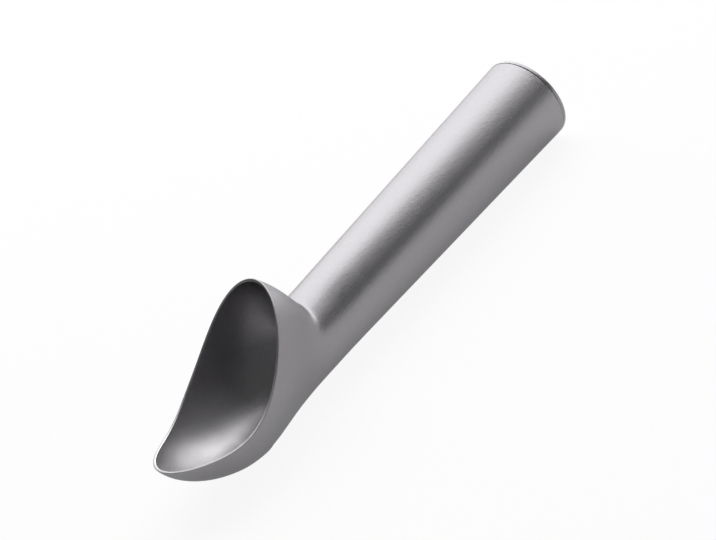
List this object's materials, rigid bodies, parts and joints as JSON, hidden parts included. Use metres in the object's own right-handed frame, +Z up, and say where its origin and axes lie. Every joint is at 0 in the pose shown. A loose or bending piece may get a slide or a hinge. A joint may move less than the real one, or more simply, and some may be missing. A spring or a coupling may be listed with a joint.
{
  "type": "ice cream scoop",
  "caption": "Cast aluminium ice cream scoop with a pointed, hooded bowl and a hollow round handle sealed by a cap and filled with a warming fluid.",
  "frame": {"origin": "centre of the end cap's flat outer face, on the handle axis", "axes": "+X along the handle axis, out of the end cap; the bowl lies at negative X; +Z up, the way the bowl opens"},
  "size_m": [0.1833, 0.0408, 0.0426],
  "materials": {
    "satin_casting": "bead blasted, fine even grain",
    "turned_plug": "fine satin",
    "seal_rubber": "matt moulded rubber",
    "fluid": "clear liquid"
  },
  "bodies": {
    "root": {"scoop_body": "satin_casting", "end_plug": "turned_plug", "plug_seal": "seal_rubber", "heat_fluid": "fluid"}
  },
  "joints": []
}
